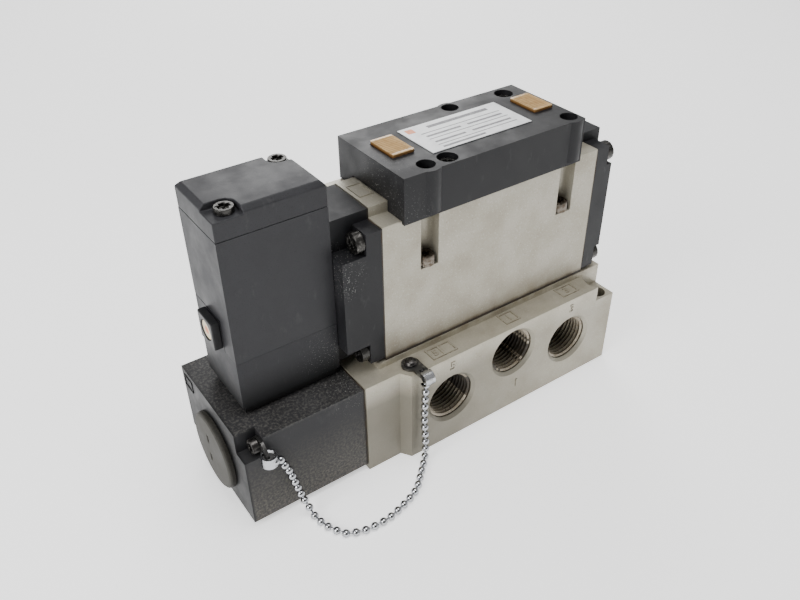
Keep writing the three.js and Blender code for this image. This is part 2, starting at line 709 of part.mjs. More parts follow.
add('pilot_base', pilotBase(), 'greyResin');
add('pilot_body', pilotHousing(), 'blackResin');
add('pilot_cap', pilotCap(), 'blackResin');
capScrews.forEach((at, i) => {
  const shank = capNotchFloor - pilotSeam + 8;
  const screw = panScrew('z', capScrewRadius, 2.6, 1.6, capNotchFloor + rest, shank, 1, at);
  add(`cap_screw_${i + 1}`, screw, 'steel');
});
add('coil_bobbin', bobbin, 'greyResin');
add('coil_winding', winding, 'copper');
add('fixed_core', core, 'steel');
add('plunger', plunger, 'steel');
add('plunger_spring', coilSpring(
  'z', 2, 0.5, plungerSpringSeat + rest, coreFace - rest, 5, coilAxis), 'steel');
add('override_housing', overrideBoss, 'blackResin');
add('override_button', button, 'cream');
add('override_spring', coilSpring(
  'x', 1.9, 0.5, buttonFace + buttonThickness + rest, chamberEnd - rest, 4, overrideAxis), 'steel');

// ---------------------------------------------------------------- indicator cover

const coverX = [coverStart, coverStart + coverLength];
const coverY = [coverFront, coverFront + coverWidth];
const coverBottom = bodyLedge + rest;
const lensY = [bodyMiddle + 0.5 - lensSize[1] / 2, bodyMiddle + 0.5 + lensSize[1] / 2];
const lensX = [
  [coverX[0] + lensInset[0], coverX[0] + lensInset[0] + lensSize[0]],
  [coverX[1] - lensInset[1] - lensSize[0], coverX[1] - lensInset[1]],
];
const coverHeadRadius = 2.7;
const coverHeadHeight = 1.9;
const coverSeat = coverTop - 1.4 - coverHeadHeight;

function topCover() {
  const roof = coverTop - coverRoof;
  const hollow = cut(
    block(wider(coverX, -coverWall), wider(coverY, -coverWall), [coverBottom - 1, roof]),
    ...coverScrews.map((at) => rod('z', coverHeadRadius + 1.2, coverBottom - 2, roof + 1, at, 24)),
  );
  const bosses = [
    ...boltFrontX.map((x) => [x, coverY[0] - coverBoss + bossRadius]),
    [boltRearX, coverY[1] + coverBoss - bossRadius],
  ].map((at) => rod('z', bossRadius, coverBottom, coverTop, at, 48)
    .intersect(block(coverX, wider(coverY, coverBoss + 1), [coverBottom - 1, coverTop + 1])));
  const lip = block(coverX, [coverY[0], bodyFront - fit], [bodyLedge - coverLip, coverBottom + 1]);
  return cut(
    join(block(coverX, coverY, [coverBottom, coverTop]), lip, ...bosses),
    hollow,
    block(wider(coverX, 1), [crownFront - fit, crownBack + fit], [coverBottom - 2, bodyCrown + fit]),
    ...bolts.map((at) => rod('z', coverHoleRadius, coverBottom - 1, coverTop + 1, at, 24)),
    ...coverScrews.map((at) => rod('z', 1.3 + fit, coverBottom - 1, coverTop, at, 12)),
    ...coverScrews.map((at) => rod('z', coverHeadRadius + fit, coverSeat, coverTop + 1, at, 24)),
    ...lensX.map((x) => block(wider(x, fit), wider(lensY, fit), [roof - 1, coverTop + 1])),
  );
}

// A lens stands proud of the roof and has a rim underneath it.
function lens(x) {
  const roof = coverTop - coverRoof;
  return join(
    block(x, lensY, [roof - 1, coverTop + lensProud]),
    block(wider(x, 0.6), wider(lensY, 1.2), [roof - 1 - rest, roof - rest]),
  );
}

function lampBoard() {
  const z = [bodyCrown + 1.3, bodyCrown + 2.9];
  const x = wider(coverX, -coverWall - 1);
  const feet = [x[0] + 2, x[1] - 5].map((at) => (
    block([at, at + 3], wider([crownFront, crownBack], -2), [bodyCrown + rest, z[0] + 0.5])));
  const lamps = lensX.map(([from, to]) => (
    rod('z', 1.5, z[1] - 0.5, z[1] + 3, [(from + to) / 2, (lensY[0] + lensY[1]) / 2], 12)));
  return join(block(x, wider([crownFront, crownBack], -1), z), ...feet, ...lamps);
}

const labelX = [coverX[0] + 15.1, coverX[0] + 15.1 + labelSize[0]];
const labelY = [coverY[0] + 7.5, coverY[0] + 7.5 + labelSize[1]];
const labelZ = [coverTop + rest, coverTop + rest + labelThickness];

add('top_cover', topCover(), 'blackResin');
coverScrews.forEach((at, i) => {
  const shank = coverSeat - bodyLedge + 6;
  const size = [1.3, coverHeadRadius, coverHeadHeight];
  add(`cover_screw_${i + 1}`, panScrew('z', ...size, coverSeat + rest, shank, 1, at), 'steel');
});
add('lamp_lens_left', lens(lensX[0]), 'amber');
add('lamp_lens_right', lens(lensX[1]), 'amber');
add('lamp_board', lampBoard(), 'board');
add('name_label', block(labelX, labelY, labelZ), 'label');

// ---------------------------------------------------------------- junction cover

const junctionRight = -junctionGasket;
const junctionLeft = junctionRight - junctionLength;
const junctionX = [junctionLeft, junctionRight];
const junctionY = [junctionFront, junctionBack];
const junctionZ = [junctionBottom, junctionTop];
const notchX = [junctionLeft - 1, junctionLeft + junctionNotch.length];
const { width: notchWidth, height: notchHeight } = junctionNotch;
const notches = [
  [[junctionY[0] - 1, junctionY[0] + notchWidth], [junctionTop - notchHeight, junctionTop + 1]],
  [[junctionY[1] - notchWidth, junctionY[1] + 1], [junctionBottom - 1, junctionBottom + notchHeight]],
];
const junctionPost = 3;

function junctionCover() {
  const x = [junctionLeft + junctionWall, junctionRight + 1];
  const around = (span) => wider(span, junctionWall);
  const inner = cut(
    block(x, wider(junctionY, -junctionWall), wider(junctionZ, -junctionWall)),
    ...notches.map(([y, z]) => block(around(notchX), around(y), around(z))),
    ...junctionScrews.map((at) => rod('x', junctionPost, junctionLeft, junctionRight + 2, at, 24)),
  );
  return cut(
    block(junctionX, junctionY, junctionZ),
    inner,
    ...notches.map(([y, z]) => block(notchX, y, z)),
    ...junctionScrews.map((at) => rod('x', 1.5 + fit, junctionLeft, junctionRight + 1, at, 12)),
    rod('x', plugHoleRadius, junctionLeft - 1, junctionLeft + junctionWall + 1, plugCentre, 28),
  );
}

function junctionSheet() {
  const x = [junctionRight + rest, -rest];
  const sheet = block(x, junctionY, junctionZ);
  const opening = cut(
    block(wider(x, 1), wider(junctionY, -junctionWall), wider(junctionZ, -junctionWall)),
    ...junctionScrews.map((at) => rod('x', junctionPost, x[0] - 2, x[1] + 2, at, 24)),
  );
  return cut(
    sheet, opening, ...junctionScrews.map((at) => rod('x', 1.5 + fit, x[0] - 1, x[1] + 1, at, 12)));
}

function entryPlug() {
  const face = junctionLeft - plugProud;
  const slotY = plugCentre[0] + plugSlot.across;
  const slots = [-1, 1].map((side) => {
    const middle = plugCentre[1] + side * plugSlot.spacing / 2;
    const [y, z] = [wider([slotY, slotY], plugSlot.width / 2), wider([middle, middle], plugSlot.height / 2)];
    return block([face - 1, face + 1.2], y, z);
  });
  return cut(
    turned('x', [
      [0, face], [plugRadius - 0.8, face], [plugRadius, face + 0.8], [plugRadius, junctionLeft - rest],
      [plugHoleRadius - fit, junctionLeft - rest], [plugHoleRadius - fit, junctionLeft + 5],
      [0, junctionLeft + 5],
    ], plugCentre, 28),
    rod('x', plugRadius - 5, face + 3.5, junctionLeft + 6, plugCentre, 24),
    ...slots,
  );
}

function terminalBlock() {
  const y = wider([plateDepth / 2 - wirePocket.width / 2, plateDepth / 2 + wirePocket.width / 2], -fit);
  const z = wider([wirePocket.bottom, wirePocket.bottom + wirePocket.height], -fit);
  const x = [-16, wirePocket.depth - rest];
  const pitch = (y[1] - y[0]) / 4;
  const ways = [1, 2, 3].map((way) => {
    const middle = y[0] + way * pitch;
    return join(
      block([x[0] - 1, x[0] + 8], [middle - 1.8, middle + 1.8], [z[0] + 3, z[0] + 7]),
      rod('z', 1.8, z[0] + 9, z[1] + 1, [x[0] + 5, middle], 12),
    );
  });
  return cut(block(x, y, z), ...ways);
}

add('junction_cover', junctionCover(), 'blackResin');
add('junction_gasket', junctionSheet(), 'rubber');
add('entry_plug', entryPlug(), 'plugGrey');
add('terminal_block', terminalBlock(), 'greyResin');
add('plug_connector', block(connectorX, connectorY, [connector.bottom, connector.top]), 'greyResin');
junctionScrews.forEach((at, i) => {
  const seat = notchX[1] - (i === 0 ? lugThickness + 2 * rest : rest);
  const shank = 7.5 - seat;
  add(`junction_screw_${i + 1}`, panScrew('x', 1.5, 2.3, 2.2, seat, shank, -1, at), 'blackSteel');
});

// ---------------------------------------------------------------- captive ball chain

// The plate's lug lies on the strip and reaches out over the front face to carry its clasp.
const plateBand = { x: lugScrewAt[0] + 0.9, y: -bandRadius - 0.2, z: plateTop - 0.4 };
const lugHoleMargin = 1;

function plateLug() {
  const z = [plateTop + rest, plateTop + rest + lugThickness];
  const hole = wider([plateBand.x, plateBand.x], bandStrip / 2 + fit);
  return cut(
    join(
      rod('z', lugRadius, ...z, lugScrewAt, 24),
      block(wider(hole, lugHoleMargin), [plateBand.y - 0.6, lugScrewAt[1]], z),
    ),
    rod('z', 1.2 + fit, z[0] - 1, z[1] + 1, lugScrewAt, 12),
    block(hole, [plateBand.y + 0.35, 0.1], wider(z, 1)),
  );
}

// The cover's lug stands against the notch wall, under the screw's head, and reaches out to its clasp.
const lugX = [notchX[1] - rest - lugThickness, notchX[1] - rest];
const coverBand = { x: lugX[1], y: junctionFront - bandRadius - 0.2, z: junctionScrews[0][1] - 2 };

function coverLug() {
  const [y, z] = junctionScrews[0];
  const strip = [coverBand.y + bandRadius - bandWall / 2, coverBand.z + (bandWidth - bandStrip) / 2];
  const outline = [
    [y, z + 2.4], [y - 2.6, z + 2.6], [y - 4.2, z + 1.6], [coverBand.y - 0.4, z + 0.1],
    [coverBand.y - 0.7, z - 1.1], [coverBand.y - 0.3, z - 2.1], [y, z - 2.1],
  ];
  return cut(
    join(rod('x', lugRadius - 0.5, ...lugX, [y, z], 24), prism('x', outline, ...lugX)),
    rod('x', 1.5 + fit, lugX[0] - 1, lugX[1] + 1, [y, z], 12),
    rod('x', bandStrip / 2 + fit, lugX[0] - 1, lugX[1] + 1, strip, 12),
  );
}

// A closed band whose back narrows to the strip that passes through the lug.
function claspBand(axis, start, across, middleY, stripStart) {
  const end = start + bandWidth;
  const back = [middleY + 0.6, middleY + bandRadius + 1];
  const spans = [[start - 1, stripStart], [stripStart + bandStrip, end + 1]];
  const reach = across.map((at) => [at - bandRadius - 1, at + bandRadius + 1]);
  return cut(
    rod(axis, bandRadius, start, end, across, 24),
    rod(axis, bandRadius - bandWall, start - 1, end + 1, across, 24),
    ...spans.map((span) => (axis === 'x' ? block(span, back, reach[1]) : block(reach[0], back, span))),
  );
}

const plateClasp = claspBand(
  'x', plateBand.x - bandWidth / 2, [plateBand.y, plateBand.z], plateBand.y, plateBand.x - bandStrip / 2);
const coverBandTop = coverBand.z + bandWidth / 2;
const coverClasp = claspBand(
  'z', coverBandTop - bandWidth, [coverBand.x, coverBand.y], coverBand.y, coverBandTop - bandStrip);

// It hangs from the plate's clasp, lies on the floor in one loop, and climbs to the cover's clasp.
const onFloor = chainDiameter / 2 + 0.05;
const chainStart = plateBand.z - bandRadius - fit;
const chainEnd = [coverBand.x + 3.1, coverBand.y - 0.3, coverBandTop - bandWidth - 0.2];
const hanging = [
  [0, 0, 1], [-0.2, 0.1, 0.84], [-0.3, 0.2, 0.67], [-0.3, 0.2, 0.5], [-0.2, -0.1, 0.33], [-0.3, -0.5, 0.17],
].map(([x, y, share]) => [plateBand.x - 0.1 + x, plateBand.y + y, chainStart * share]);
const lying = [
  [16.6, -3.6, onFloor + 0.4], [14.5, -5.6], [10.8, -9.1], [8.1, -11.6], [5.3, -13.4], [2.5, -14.5],
  [-0.6, -15.5], [-3.7, -16.3], [-6.9, -16.9], [-10.1, -16.8], [-13.3, -16.6], [-16.3, -15.7],
  [-19, -14.5], [-20.9, -12], [-22.2, -9.5], [-23.1, -6.7], [-23.6, -3.6, onFloor + 0.1],
].map(([x, y, z = onFloor]) => [x, y, z]);
const climbing = [
  [-23.9, -1.4, 2.8], [-24.6, -0.2, 5.2], [-25.1, 0.5, 7.5], [-25.9, 0.9, 11], [-26.9, 0.9, 15.6],
  [-27.9, 0.9, 19.7], [-29.2, 0.9, 23.2],
];
const chainPath = new THREE.CatmullRomCurve3(
  [...hanging, ...lying, ...climbing, chainEnd].map((at) => new THREE.Vector3(...at)));

add('chain_lug_plate', plateLug(), 'blackSteel');
const domeSeat = plateTop + 2 * rest + lugThickness;
const chainScrew = join(
  turned('z', [
    [0, domeSeat], [2.1, domeSeat], [2.1, domeSeat + 0.5], [1.75, domeSeat + 1.1], [1, domeSeat + 1.5],
    [0, domeSeat + 1.6],
  ], lugScrewAt, 20),
  rod('z', 1.2, domeSeat - 6, domeSeat + 0.3, lugScrewAt, 12),
);
add('chain_screw', chainScrew, 'blackSteel');
add('chain_clasp_plate', plateClasp, 'chrome');
add('ball_chain', swept(chainPath, chainDiameter / 2, 48, 8), 'chrome');
add('chain_clasp_cover', coverClasp, 'chrome');
add('chain_lug_cover', coverLug(), 'blackSteel');

// ---------------------------------------------------------------- the shared frame

const loose = ['ball_chain', 'chain_clasp_plate', 'chain_clasp_cover'];
const footprint = new THREE.Box3();
valve.children.filter((mesh) => !loose.includes(mesh.name)).forEach((mesh) => footprint.expandByObject(mesh));
const middle = footprint.getCenter(new THREE.Vector3());
valve.children.forEach((mesh) => mesh.geometry.translate(-middle.x, -middle.y, -footprint.min.z));

export default valve;
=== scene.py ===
import math

import bmesh
import bpy
from mathutils import Matrix, Vector


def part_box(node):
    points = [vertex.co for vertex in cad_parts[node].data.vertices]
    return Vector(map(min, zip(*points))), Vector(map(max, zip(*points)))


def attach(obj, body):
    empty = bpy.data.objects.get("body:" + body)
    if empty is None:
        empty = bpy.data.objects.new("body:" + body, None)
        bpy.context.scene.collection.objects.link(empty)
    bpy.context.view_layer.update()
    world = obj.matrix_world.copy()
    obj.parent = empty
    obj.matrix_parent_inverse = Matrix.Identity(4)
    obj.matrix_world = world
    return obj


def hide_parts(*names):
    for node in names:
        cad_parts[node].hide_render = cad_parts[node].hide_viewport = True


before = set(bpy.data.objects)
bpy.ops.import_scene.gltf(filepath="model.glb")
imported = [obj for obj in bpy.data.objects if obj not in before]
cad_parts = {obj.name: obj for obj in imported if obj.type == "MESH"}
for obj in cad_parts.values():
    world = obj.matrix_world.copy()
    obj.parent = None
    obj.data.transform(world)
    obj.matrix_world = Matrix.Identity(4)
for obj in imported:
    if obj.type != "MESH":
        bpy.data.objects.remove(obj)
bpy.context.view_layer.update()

# Camera.
# It stands in front of the pilot end, well above the valve, and looks along and down its length.
camera_data = bpy.data.cameras.new("camera")
camera_data.sensor_width = 36
camera_data.lens = 36.17
camera_data.clip_start = 0.01
camera = bpy.data.objects.new("camera", camera_data)
bpy.context.scene.collection.objects.link(camera)
bpy.context.scene.camera = camera
turn, tilt, roll = math.radians(-34.406), math.radians(36.153), math.radians(-0.8255)
back = Vector((math.sin(turn) * math.cos(tilt), -math.cos(turn) * math.cos(tilt), math.sin(tilt)))
right = (-back).cross(Vector((0, 0, 1))).normalized()
up = right.cross(-back)
right, up = right * math.cos(roll) + up * math.sin(roll), up * math.cos(roll) - right * math.sin(roll)
camera_place = Matrix((right, up, back)).transposed().to_4x4()
camera_place.translation = (-0.11863, -0.16678, 0.19243)
camera.matrix_world = camera_place

# Captive ball chain.
# Nickel-plated steel beads on short thin links, in one open length. It hangs from the
# clasp on the sub-plate, lies on the bench in a loop, and climbs to the clasp on the junction cover.


def surface(name, colour, roughness, metallic=0.0):
    material = bpy.data.materials.new(name)
    material.use_nodes = True
    shader = material.node_tree.nodes["Principled BSDF"]
    shader.inputs["Base Color"].default_value = (*colour, 1)
    shader.inputs["Roughness"].default_value = roughness
    shader.inputs["Metallic"].default_value = metallic
    return material


def join_up(material, source, target):
    material.node_tree.links.new(source, target)


def cloud(material, size, detail=3.0, rough=0.5, stretch=(1, 1, 1)):
    """A noise on the piece's own coordinates, with patches of about the given size in metres."""
    nodes = material.node_tree.nodes
    place = nodes.new("ShaderNodeTexCoord")
    mapping = nodes.new("ShaderNodeMapping")
    mapping.inputs["Scale"].default_value = stretch
    noise = nodes.new("ShaderNodeTexNoise")
    noise.inputs["Scale"].default_value = 1 / size
    noise.inputs["Detail"].default_value = detail
    noise.inputs["Roughness"].default_value = rough
    join_up(material, place.outputs["Object"], mapping.inputs["Vector"])
    join_up(material, mapping.outputs["Vector"], noise.inputs["Vector"])
    return noise.outputs["Fac"]


def between(material, source, low, high, to_low=0.0, to_high=1.0):
    """Spreads the stretch from low to high over to_low to to_high, and holds it there beyond."""
    spread = material.node_tree.nodes.new("ShaderNodeMapRange")
    for socket, value in zip(("From Min", "From Max", "To Min", "To Max"), (low, high, to_low, to_high)):
        spread.inputs[socket].default_value = value
    join_up(material, source, spread.inputs["Value"])
    return spread.outputs["Result"]


def combine(material, how, first, second):
    sum_node = material.node_tree.nodes.new("ShaderNodeMath")
    sum_node.operation = how
    for socket, value in zip(sum_node.inputs, (first, second)):
        if isinstance(value, (int, float)):
            socket.default_value = value
        else:
            join_up(material, value, socket)
    return sum_node.outputs["Value"]


def tint(material, colour, amount):
    """Lays a colour over what the material already has, as far as the amount says."""
    shader = material.node_tree.nodes["Principled BSDF"]
    base = shader.inputs["Base Color"]
    mix = material.node_tree.nodes.new("ShaderNodeMix")
    mix.data_type = "RGBA"
    if base.is_linked:
        join_up(material, base.links[0].from_socket, mix.inputs["A"])
    else:
        mix.inputs[6].default_value = base.default_value
    mix.inputs[7].default_value = (*colour, 1)
    join_up(material, amount, mix.inputs["Factor"])
    join_up(material, mix.outputs[2], base)


def dull(material, source, low, high, smooth, rough):
    shader = material.node_tree.nodes["Principled BSDF"]
    join_up(material, between(material, source, low, high, smooth, rough), shader.inputs["Roughness"])


def texture(material, height, strength, distance):
    """Raises the surface by the height, on top of what is there."""
    shader = material.node_tree.nodes["Principled BSDF"]
    bump = material.node_tree.nodes.new("ShaderNodeBump")
    bump.inputs["Strength"].default_value = strength
    bump.inputs["Distance"].default_value = distance
    join_up(material, height, bump.inputs["Height"])
    if shader.inputs["Normal"].is_linked:
        join_up(material, shader.inputs["Normal"].links[0].from_socket, bump.inputs["Normal"])
    join_up(material, bump.outputs["Normal"], shader.inputs["Normal"])


def height_above(material, axis="Z"):
    nodes = material.node_tree.nodes
    place = nodes.new("ShaderNodeTexCoord")
    apart = nodes.new("ShaderNodeSeparateXYZ")
    join_up(material, place.outputs["Object"], apart.inputs["Vector"])
    return apart.outputs[axis]


def near(material, place, inside, outside):
    """One within a distance of a place on the piece, and nothing beyond a longer one."""
    nodes = material.node_tree.nodes
    where = nodes.new("ShaderNodeTexCoord")
    away = nodes.new("ShaderNodeVectorMath")
    away.operation = "DISTANCE"
    join_up(material, where.outputs["Object"], away.inputs[0])
    away.inputs[1].default_value = place
    return between(material, away.outputs["Value"], inside, outside, 1, 0)


chain_nickel = surface("chain_nickel", (0.50, 0.51, 0.53), 0.10, 1.0)
chain_nickel.node_tree.nodes["Principled BSDF"].inputs["Specular Tint"].default_value = (0.12, 0.12, 0.13, 1)
smear = cloud(chain_nickel, 0.0016, 4)
tint(chain_nickel, (0.30, 0.29, 0.28), between(chain_nickel, smear, 0.50, 0.72, 0, 0.6))
dull(chain_nickel, smear, 0.4, 0.7, 0.05, 0.26)
texture(chain_nickel, smear, 0.15, 0.00004)


def put(name, shape, material, body="valve", smooth=40):
    """Makes the finished shape a piece that moves with a body."""
    bmesh.ops.recalc_face_normals(shape, faces=shape.faces)
    mesh = bpy.data.meshes.new(name)
    for edge in shape.edges:
        flat = len(edge.link_faces) == 2 and edge.calc_face_angle(0) < math.radians(smooth)
        edge.smooth = flat
    for face in shape.faces:
        face.smooth = True
    shape.to_mesh(mesh)
    shape.free()
    mesh.materials.append(material)
    piece = bpy.data.objects.new(name, mesh)
    bpy.context.scene.collection.objects.link(piece)
    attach(piece, body)
    return piece


def mm(x, y, z):
    """A place in the frame from millimetres along the plate, behind its front and above the bench."""
    return Vector(((x - 29.35) / 1000, (y - 21.35) / 1000, z / 1000))


clasp_x, clasp_y, chain_top = 17.5, -2.6, 30.9
chain_route = [
    mm(clasp_x + dx, clasp_y + dy, chain_top * share)
    for dx, dy, share in (
        (0, 0, 1), (-0.2, 0.1, 0.84), (-0.3, 0.2, 0.67),
        (-0.3, 0.2, 0.5), (-0.2, -0.1, 0.33), (-0.3, -0.5, 0.17))
]
chain_route += [
    mm(*place) for place in (
        (16.6, -3.6, 1.65), (14.5, -5.6, 1.25), (10.8, -9.1, 1.25), (8.1, -11.6, 1.25),
        (5.3, -13.4, 1.25), (2.5, -14.5, 1.25), (-0.6, -15.5, 1.25), (-3.7, -16.3, 1.25),
        (-6.9, -16.9, 1.25), (-10.1, -16.8, 1.25), (-13.3, -16.6, 1.25), (-16.3, -15.7, 1.25),
        (-19, -14.5, 1.25), (-20.9, -12, 1.25), (-22.2, -9.5, 1.25), (-23.1, -6.7, 1.25),
        (-23.6, -3.6, 1.35), (-23.9, -1.4, 2.8), (-24.6, -0.2, 5.2), (-25.1, 0.5, 7.5),
        (-25.9, 0.9, 11), (-26.9, 0.9, 15.6), (-27.9, 0.9, 19.7), (-29.2, 0.9, 23.2), (-29.95, 0.9, 25.4))
]


def smooth_line(points, steps=16):
    """A smooth curve through the points, as many short straight stretches."""
    ends = [points[0] * 2 - points[1], *points, points[-1] * 2 - points[-2]]
    line = []
    for a, b, c, d in zip(ends, ends[1:], ends[2:], ends[3:]):
        for step in range(steps):
            t = step / steps
            line.append(0.5 * (2 * b + (c - a) * t + (2 * a - 5 * b + 4 * c - d) * t * t
                               + (3 * b - a - 3 * c + d) * t ** 3))
    return line + [points[-1]]


def evenly(line, pitch):
    """Places along the line, an equal pitch apart as near the given one as fits."""
    total = sum((b - a).length for a, b in zip(line, line[1:]))
    count = round(total / pitch)
    places, gone, wanted = [line[0]], 0.0, total / count
    for a, b in zip(line, line[1:]):
        stretch = (b - a).length
        while gone + stretch >= wanted * len(places) - 1e-9 and len(places) <= count:
            places.append(a.lerp(b, (wanted * len(places) - gone) / stretch))
        gone += stretch
    return places, total


bead_diameter, bead_pitch, link_radius = 0.0024, 0.00295, 0.00034


def add_bead(shape, place):
    bmesh.ops.create_uvsphere(
        shape, u_segments=14, v_segments=10, radius=bead_diameter / 2, matrix=Matrix.Translation(place))


def add_link(shape, a, b):
    """A thin bar from one place to another."""
    lie = (b - a).to_track_quat("Z", "Y").to_matrix().to_4x4()
    bmesh.ops.create_cone(
        shape, cap_ends=True, segments=8, radius1=link_radius, radius2=link_radius, depth=(b - a).length,
        matrix=Matrix.Translation((a + b) / 2) @ lie)


chain_line = smooth_line(chain_route)
bead_places, chain_length = evenly(chain_line, bead_pitch)
chain_shape = bmesh.new()
for place in bead_places[:-1] + [chain_line[-1]]:
    add_bead(chain_shape, place)
for a, b in zip(bead_places, bead_places[1:]):
    add_link(chain_shape, a, b)
chain = put("captive_chain", chain_shape, chain_nickel, smooth=60)
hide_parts("ball_chain")

# Bench and light.
# A white bench, lit by large soft lights from the left, from above and from behind, in a white tent
# that is dark on the side that the valve is looked at from.
bench_shape = bmesh.new()
bmesh.ops.create_grid(bench_shape, x_segments=1, y_segments=1, size=2.5)
bench_mesh = bpy.data.meshes.new("bench")
bench_shape.to_mesh(bench_mesh)
bench_shape.free()
bench = bpy.data.objects.new("bench", bench_mesh)
bpy.context.scene.collection.objects.link(bench)
bench_paper = surface("bench_paper", (0.92, 0.92, 0.92), 0.9)
bench_paper.node_tree.nodes["Principled BSDF"].inputs["Emission Color"].default_value = (1, 1, 1, 1)
bench_paper.node_tree.nodes["Principled BSDF"].inputs["Emission Strength"].default_value = 0.80
bench_mesh.materials.append(bench_paper)
tent = bpy.data.worlds.new("tent")
bpy.context.scene.world = tent
tent.use_nodes = True
tent_nodes = tent.node_tree.nodes
looking = tent_nodes.new("ShaderNodeTexCoord")
towards = tent_nodes.new("ShaderNodeVectorMath")
towards.operation = "DOT_PRODUCT"
towards.inputs[1].default_value = back
opening = tent_nodes.new("ShaderNodeMapRange")
for socket, value in (("From Min", 0.60), ("From Max", 0.92), ("To Min", 0.50), ("To Max", 0.06)):
    opening.inputs[socket].default_value = value
tent.node_tree.links.new(looking.outputs["Generated"], towards.inputs[0])
tent.node_tree.links.new(towards.outputs["Value"], opening.inputs["Value"])
tent.node_tree.links.new(opening.outputs["Result"], tent_nodes["Background"].inputs["Strength"])
tent_nodes["Background"].inputs["Color"].default_value = (1, 1, 1, 1)
for name, spot, size, power in (
    ("left_light", (-0.62, -0.12, 0.42), 0.45, 4.2),
    ("top_light", (0.05, -0.10, 0.85), 0.5, 4.4),
    ("back_light", (0.35, 0.65, 0.45), 0.5, 3.0),
):
    lamp = bpy.data.lights.new(name, "AREA")
    lamp.shape = "DISK"
    lamp.size = size
    lamp.energy = power
    holder = bpy.data.objects.new(name, lamp)
    holder.matrix_world = (
        Matrix.Translation(spot) @ Vector(spot).to_track_quat("Z", "Y").to_matrix().to_4x4())
    bpy.context.scene.collection.objects.link(holder)

# Sub-plate.
# A die-cast aluminium block in champagne-silver paint, with soft cast edges and a fine mould grain.
# It has mounting holes near its corners, and everything else stands on it.


def softened(node, radius, material, body="valve", segments=3, keep=30, name=None):
    """The CAD solid's own shape with its sharp edges rounded off, in place of the plain solid."""
    shape = bmesh.new()
    shape.from_mesh(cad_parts[node].data)
    bmesh.ops.remove_doubles(shape, verts=shape.verts, dist=2e-6)
    bmesh.ops.dissolve_limit(
        shape, angle_limit=math.radians(1), verts=shape.verts, edges=shape.edges,
        use_dissolve_boundaries=False)
    piece = put(name or node + "_finished", shape, material, body, smooth=keep)
    rounding = piece.modifiers.new("rounded_edges", "BEVEL")
    rounding.width = radius
    rounding.segments = segments
    rounding.limit_method = "ANGLE"
    rounding.angle_limit = math.radians(keep)
    rounding.harden_normals = True
    rounding.use_clamp_overlap = True
    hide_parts(node)
    return piece


def cast_paint(name, colour):
    paint = surface(name, colour, 0.44, 0.45)
    grain = cloud(paint, 0.0005, 3, 0.6)
    flow = cloud(paint, 0.011, 4)
    tint(paint, tuple(share * c for share, c in zip((0.80, 0.78, 0.72), colour)), between(
        paint, flow, 0.40, 0.66, 0, 0.6))
    tint(paint, (0.80, 0.78, 0.70), between(paint, grain, 0.58, 0.72, 0, 0.30))
    tint(paint, (0.16, 0.13, 0.08), between(paint, grain, 0.38, 0.27, 0, 0.45))
    dull(paint, flow, 0.35, 0.65, 0.36, 0.50)
    texture(paint, grain, 0.35, 0.00006)
    texture(paint, flow, 0.15, 0.0003)
    return paint


plate_paint = cast_paint("plate_paint", (0.47, 0.44, 0.36))
# Painted shade: below the plate's top the paint darkens towards the bottom, more at the left end than the
# right.
painted_shade_low = between(plate_paint, height_above(plate_paint), 0.0332, 0.0250, 0, 1)
painted_shade_leftward = between(plate_paint, height_above(plate_paint, "X"), -0.0100, 0.0450, 0.85, 0.34)
tint(plate_paint, (0.13, 0.118, 0.088), combine(plate_paint, "MULTIPLY", painted_shade_low, painted_shade_leftward))
seat_dirt = cloud(plate_paint, 0.005, 4, 0.65, (1, 1, 0.6))
on_seat = between(plate_paint, height_above(plate_paint), 0.0330, 0.0355, 0, 1)
tint(plate_paint, (0.17, 0.13, 0.075), combine(
    plate_paint, "MULTIPLY", on_seat, between(plate_paint, seat_dirt, 0.40, 0.66, 0.10, 0.60)))
softened("sub_plate", 0.0004, plate_paint)

# Port threads.
# Pipe threads cut straight into the sub-plate, as rings: three ports in the front face, two in the
# rear one. Their crests are brighter metal, and their roots and the small bore beyond are painted shade.
cut_metal = surface("cut_metal", (0.33, 0.29, 0.225), 0.42, 0.5)
tool_marks = cloud(cut_metal, 0.0009, 3, 0.5, (1, 0.3, 1))
tint(cut_metal, (0.20, 0.16, 0.10), between(cut_metal, tool_marks, 0.46, 0.66, 0, 0.7))
dull(cut_metal, tool_marks, 0.35, 0.65, 0.26, 0.46)
texture(cut_metal, tool_marks, 0.2, 0.00003)
